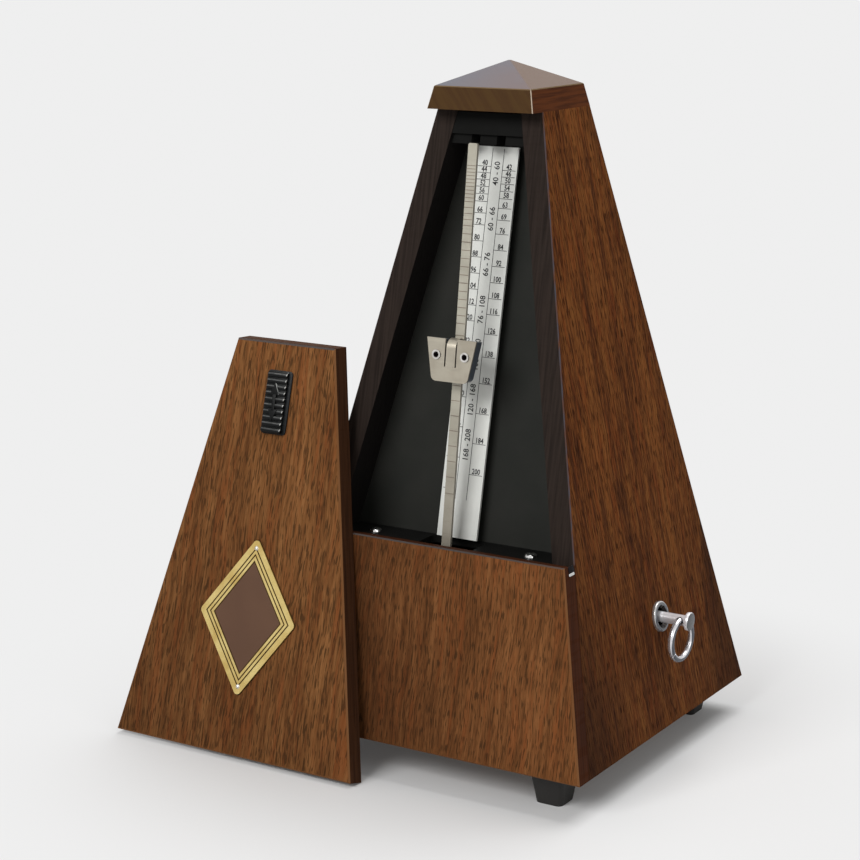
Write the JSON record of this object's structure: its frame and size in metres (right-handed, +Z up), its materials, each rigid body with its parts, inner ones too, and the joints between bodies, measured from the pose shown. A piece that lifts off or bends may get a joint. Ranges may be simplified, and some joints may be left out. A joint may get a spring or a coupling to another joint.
{
  "type": "mechanical metronome",
  "caption": "Pyramid-shaped wind-up metronome with swinging pendulum, sliding weight, winding key and a removable front cover leaned against it.",
  "frame": {"origin": "on the floor, under the middle of the box round the case, its key and the leaning cover", "axes": "+Z up, -Y out of the front, +X to the side with the winding key"},
  "size_m": [0.1644, 0.1276, 0.2128],
  "materials": {
    "walnut_side": "dark streaky walnut veneer, satin lacquer",
    "walnut_front": "mid-brown walnut veneer with short pores, satin lacquer",
    "inner_wood": "dark stained wood",
    "black_board": "black satin board",
    "black_plastic": "black moulded plastic, glossy",
    "foot_rubber": "black, matt",
    "scale_metal": "satin silver plate",
    "rod_metal": "nickel with a champagne tone",
    "weight_metal": "champagne face, fine satin",
    "weight_dark": "dark body of the weight",
    "bob_metal": "dull grey casting",
    "chrome": "bright plated",
    "steel": "bright steel",
    "spring_steel": "blued spring steel",
    "plate_brass": "brass, grained",
    "badge_brass": "polished brass",
    "badge_brown": "brown enamel"
  },
  "bodies": {
    "case": {"side_panel_left": "walnut_side", "side_panel_right": "walnut_side", "back_panel": "walnut_side", "base_board": "inner_wood", "lower_front_panel": "walnut_front", "top_block": "inner_wood", "roof_cap": "walnut_front", "foot_front_left": "foot_rubber", "foot_front_right": "foot_rubber", "foot_rear_left": "foot_rubber", "foot_rear_right": "foot_rubber", "foot_screws": "steel", "backboard": "black_board", "shelf": "black_board", "shelf_brackets": "black_board", "shelf_screws": "chrome", "pendulum_rest": "black_plastic", "scale_carrier": "black_board", "tempo_scale": "scale_metal", "movement_plate_left": "plate_brass", "movement_plate_right": "plate_brass", "movement_screws": "steel", "movement_pillars": "plate_brass", "pillar_nuts": "steel", "front_bridge": "plate_brass", "rear_cock": "plate_brass", "verge_bushes": "plate_brass", "escape_bridge": "plate_brass", "mainspring": "spring_steel", "key_escutcheon": "chrome"},
    "great_wheel": {"great_wheel": "plate_brass", "click_screw": "steel", "click_spring": "spring_steel"},
    "click": {"click": "steel"},
    "winding_key": {"winding_arbor": "steel", "ratchet_wheel": "steel", "winding_key": "chrome"},
    "key_ring": {"key_ring": "chrome"},
    "second_wheel": {"second_arbor": "steel", "second_wheel": "plate_brass"},
    "crown_wheel": {"crown_arbor": "steel", "crown_wheel": "plate_brass"},
    "pendulum": {"verge_arbor": "steel", "pallets": "steel", "pendulum_hub": "steel", "pendulum_rod": "rod_metal", "rod_screws": "steel", "counterweight": "bob_metal"},
    "weight": {"weight_face": "weight_metal", "weight_body": "weight_dark", "weight_rivets": "weight_metal", "weight_tongue": "weight_metal"},
    "cover": {"cover_panel": "walnut_front", "badge_plate": "badge_brass", "badge_enamel": "badge_brown", "badge_nails": "chrome"},
    "catch": {"catch_slider": "black_plastic", "catch_hook": "steel", "catch_screw": "steel"}
  },
  "joints": [
    {"name": "pendulum_swing", "type": "hinge", "parent": "case", "child": "pendulum", "pos_m": [0.02082, -0.03152, 0.057], "axis": [0, -0.992, 0.126], "range_deg": [-20, 20]},
    {"name": "weight_slide", "type": "slide", "parent": "pendulum", "child": "weight", "axis": [0, 0.126, 0.992], "range_m": [-0.045, 0.053]},
    {"name": "great_wheel_turn", "type": "hinge", "parent": "case", "child": "great_wheel", "pos_m": [0.02082, 0.01383, 0.0437], "axis": [1, 0, 0], "continuous": true},
    {"name": "second_wheel_turn", "type": "hinge", "parent": "case", "child": "second_wheel", "pos_m": [0.02082, -0.00737, 0.03616], "axis": [1, 0, 0], "continuous": true},
    {"name": "crown_wheel_turn", "type": "hinge", "parent": "case", "child": "crown_wheel", "pos_m": [0.02082, -0.00156, 0.0532], "axis": [1, 0, 0], "continuous": true},
    {"name": "key_winding", "type": "hinge", "parent": "great_wheel", "child": "winding_key", "pos_m": [0.02082, 0.01383, 0.0437], "axis": [1, 0, 0], "continuous": true},
    {"name": "key_ring_swing", "type": "hinge", "parent": "winding_key", "child": "key_ring", "pos_m": [0.07902, 0.01383, 0.0437], "axis": [0, 1, 0], "range_deg": [-80, 14]},
    {"name": "click_lift", "type": "hinge", "parent": "great_wheel", "child": "click", "pos_m": [0.02082, 0.02548, 0.04794], "axis": [-1, 0, 0], "range_deg": [0, 10], "stiffness_Nm_per_rad": 0.02, "springref_deg": -11.46},
    {"name": "catch_slide", "type": "slide", "parent": "cover", "child": "catch", "axis": [0, -0.2588, -0.9659], "range_m": [0, 0.004]},
    {"name": "cover_lift", "type": "slide", "parent": "case", "child": "cover", "axis": [0, 0, 1], "range_m": [0, 0.26]}
  ],
  "couplings": [
    {"joint": "second_wheel_turn", "follows": "great_wheel_turn", "ratio": -4},
    {"joint": "crown_wheel_turn", "follows": "great_wheel_turn", "ratio": 12}
  ]
}
